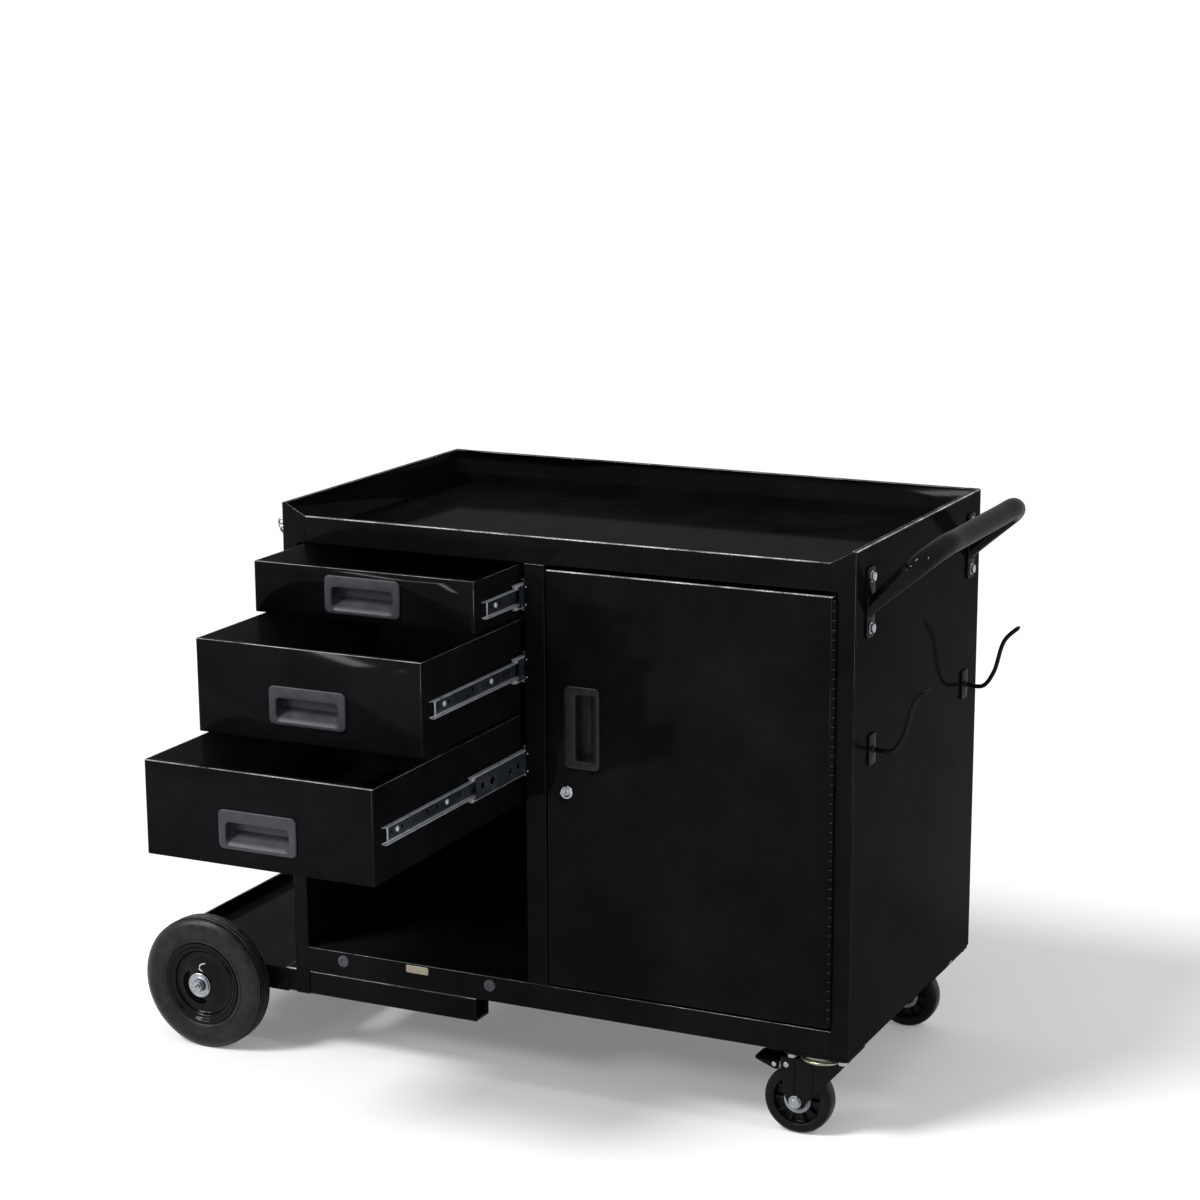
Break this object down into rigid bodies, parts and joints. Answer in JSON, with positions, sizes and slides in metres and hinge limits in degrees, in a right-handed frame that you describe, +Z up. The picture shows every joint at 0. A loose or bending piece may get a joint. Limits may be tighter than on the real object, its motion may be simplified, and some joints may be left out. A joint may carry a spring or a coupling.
{
  "type": "welding cart",
  "caption": "Rolling sheet-steel welding cart with drawers, an open bay, a locking door, a tray top, a cylinder tray with chain, a push handle and cable hooks.",
  "frame": {"origin": "on the floor, under the centre of the box that holds the cart with its drawers at their rest openings", "axes": "+X towards the push handle, -Y towards the drawers and door, +Z up"},
  "size_m": [1.2592, 1.0292, 0.8693],
  "materials": {
    "black_powder_coat": "gloss black powder coat",
    "grey_pull": "satin grey moulded plastic",
    "dark_pull": "satin dark grey moulded plastic",
    "zinc": "bright zinc plate",
    "chrome": "bright chrome",
    "nickel": "dull nickel plate",
    "tyre": "black rubber, moulded",
    "caster_rubber": "dark grey rubber tread"
  },
  "bodies": {
    "cabinet": {"back_panel": "black_powder_coat", "bay_catch": "nickel", "bottom_pan": "black_powder_coat", "cable_hook_front": "black_powder_coat", "cable_hook_rear": "black_powder_coat", "caster_crossmember": "black_powder_coat", "caster_plate_front": "black_powder_coat", "caster_plate_rear": "black_powder_coat", "chain_eye_front": "zinc", "chain_eye_rear": "zinc", "cylinder_tray": "black_powder_coat", "divider_panel": "black_powder_coat", "drawer_1_slide_left_outer": "zinc", "drawer_1_slide_right_outer": "zinc", "drawer_2_slide_left_outer": "zinc", "drawer_2_slide_right_outer": "zinc", "drawer_3_slide_left_outer": "zinc", "drawer_3_slide_right_outer": "zinc", "hinge_frame_leaf": "zinc", "hinge_pin": "zinc", "left_side_panel": "black_powder_coat", "push_handle": "black_powder_coat", "right_side_panel": "black_powder_coat", "slide_mount_panel": "black_powder_coat", "top_tray": "black_powder_coat", "wheel_axle": "zinc"},
    "drawer_1_middle": {"drawer_1_slide_left_middle": "zinc", "drawer_1_slide_right_middle": "zinc"},
    "drawer_1": {"drawer_1_box": "black_powder_coat", "drawer_1_pull": "grey_pull", "drawer_1_slide_left_inner": "zinc", "drawer_1_slide_right_inner": "zinc"},
    "drawer_2_middle": {"drawer_2_slide_left_middle": "zinc", "drawer_2_slide_right_middle": "zinc"},
    "drawer_2": {"drawer_2_box": "black_powder_coat", "drawer_2_pull": "grey_pull", "drawer_2_slide_left_inner": "zinc", "drawer_2_slide_right_inner": "zinc"},
    "drawer_3_middle": {"drawer_3_slide_left_middle": "zinc", "drawer_3_slide_right_middle": "zinc"},
    "drawer_3": {"drawer_3_box": "black_powder_coat", "drawer_3_pull": "grey_pull", "drawer_3_slide_left_inner": "zinc", "drawer_3_slide_right_inner": "zinc"},
    "door": {"door_panel": "black_powder_coat", "door_pull": "dark_pull", "hinge_door_leaf": "zinc", "lock_body": "chrome"},
    "lock": {"lock_plug": "chrome"},
    "wheel_front": {"wheel_tyre_front": "tyre", "wheel_rim_front": "black_powder_coat"},
    "caster_front": {"caster_fork_front": "black_powder_coat"},
    "caster_front_roller": {"caster_wheel_front": "caster_rubber"},
    "caster_front_brake": {"caster_pedal_front": "black_powder_coat"},
    "wheel_rear": {"wheel_tyre_rear": "tyre", "wheel_rim_rear": "black_powder_coat"},
    "caster_rear": {"caster_fork_rear": "black_powder_coat"},
    "caster_rear_roller": {"caster_wheel_rear": "caster_rubber"},
    "caster_rear_brake": {"caster_pedal_rear": "black_powder_coat"},
    "chain": {"cylinder_chain": "zinc"}
  },
  "joints": [
    {"name": "drawer_1_outer_slide", "type": "slide", "parent": "cabinet", "child": "drawer_1_middle", "axis": [0, -1, 0], "range_m": [-0.03, 0.22]},
    {"name": "drawer_1_inner_slide", "type": "slide", "parent": "drawer_1_middle", "child": "drawer_1", "axis": [0, -1, 0], "range_m": [-0.101, 0.149]},
    {"name": "drawer_2_outer_slide", "type": "slide", "parent": "cabinet", "child": "drawer_2_middle", "axis": [0, -1, 0], "range_m": [-0.034, 0.216]},
    {"name": "drawer_2_inner_slide", "type": "slide", "parent": "drawer_2_middle", "child": "drawer_2", "axis": [0, -1, 0], "range_m": [-0.25, 0]},
    {"name": "drawer_3_outer_slide", "type": "slide", "parent": "cabinet", "child": "drawer_3_middle", "axis": [0, -1, 0], "range_m": [-0.168, 0.082]},
    {"name": "drawer_3_inner_slide", "type": "slide", "parent": "drawer_3_middle", "child": "drawer_3", "axis": [0, -1, 0], "range_m": [-0.25, 0]},
    {"name": "door_hinge", "type": "hinge", "parent": "cabinet", "child": "door", "pos_m": [0.49785, -0.09585, 0.484], "axis": [0, 0, 1], "range_deg": [0, 165]},
    {"name": "lock_turn", "type": "hinge", "parent": "door", "child": "lock", "pos_m": [0.09185, -0.09665, 0.471], "axis": [0, -1, 0], "range_deg": [0, 90]},
    {"name": "wheel_front_roll", "type": "hinge", "parent": "cabinet", "child": "wheel_front", "pos_m": [-0.51065, -0.12665, 0.104], "axis": [0, 1, 0], "continuous": true},
    {"name": "caster_front_swivel", "type": "hinge", "parent": "cabinet", "child": "caster_front", "pos_m": [0.47835, -0.05665, 0.1307], "axis": [0, 0, 1], "continuous": true},
    {"name": "caster_front_roll", "type": "hinge", "parent": "caster_front", "child": "caster_front_roller", "pos_m": [0.44235, -0.05665, 0.0508], "axis": [0, 1, 0], "continuous": true},
    {"name": "caster_front_brake_press", "type": "hinge", "parent": "caster_front", "child": "caster_front_brake", "pos_m": [0.42835, -0.05665, 0.1051], "axis": [0, -1, 0], "range_deg": [0, 12]},
    {"name": "wheel_rear_roll", "type": "hinge", "parent": "cabinet", "child": "wheel_rear", "pos_m": [-0.51065, 0.47435, 0.104], "axis": [0, 1, 0], "continuous": true},
    {"name": "caster_rear_swivel", "type": "hinge", "parent": "cabinet", "child": "caster_rear", "pos_m": [0.47835, 0.40435, 0.1307], "axis": [0, 0, 1], "continuous": true},
    {"name": "caster_rear_roll", "type": "hinge", "parent": "caster_rear", "child": "caster_rear_roller", "pos_m": [0.44235, 0.40435, 0.0508], "axis": [0, 1, 0], "continuous": true},
    {"name": "caster_rear_brake_press", "type": "hinge", "parent": "caster_rear", "child": "caster_rear_brake", "pos_m": [0.42835, 0.40435, 0.1051], "axis": [0, -1, 0], "range_deg": [0, 12]},
    {"name": "chain_swing", "type": "hinge", "parent": "cabinet", "child": "chain", "pos_m": [-0.38365, 0.17385, 0.82], "axis": [0, 1, 0], "range_deg": [0, 80]}
  ]
}
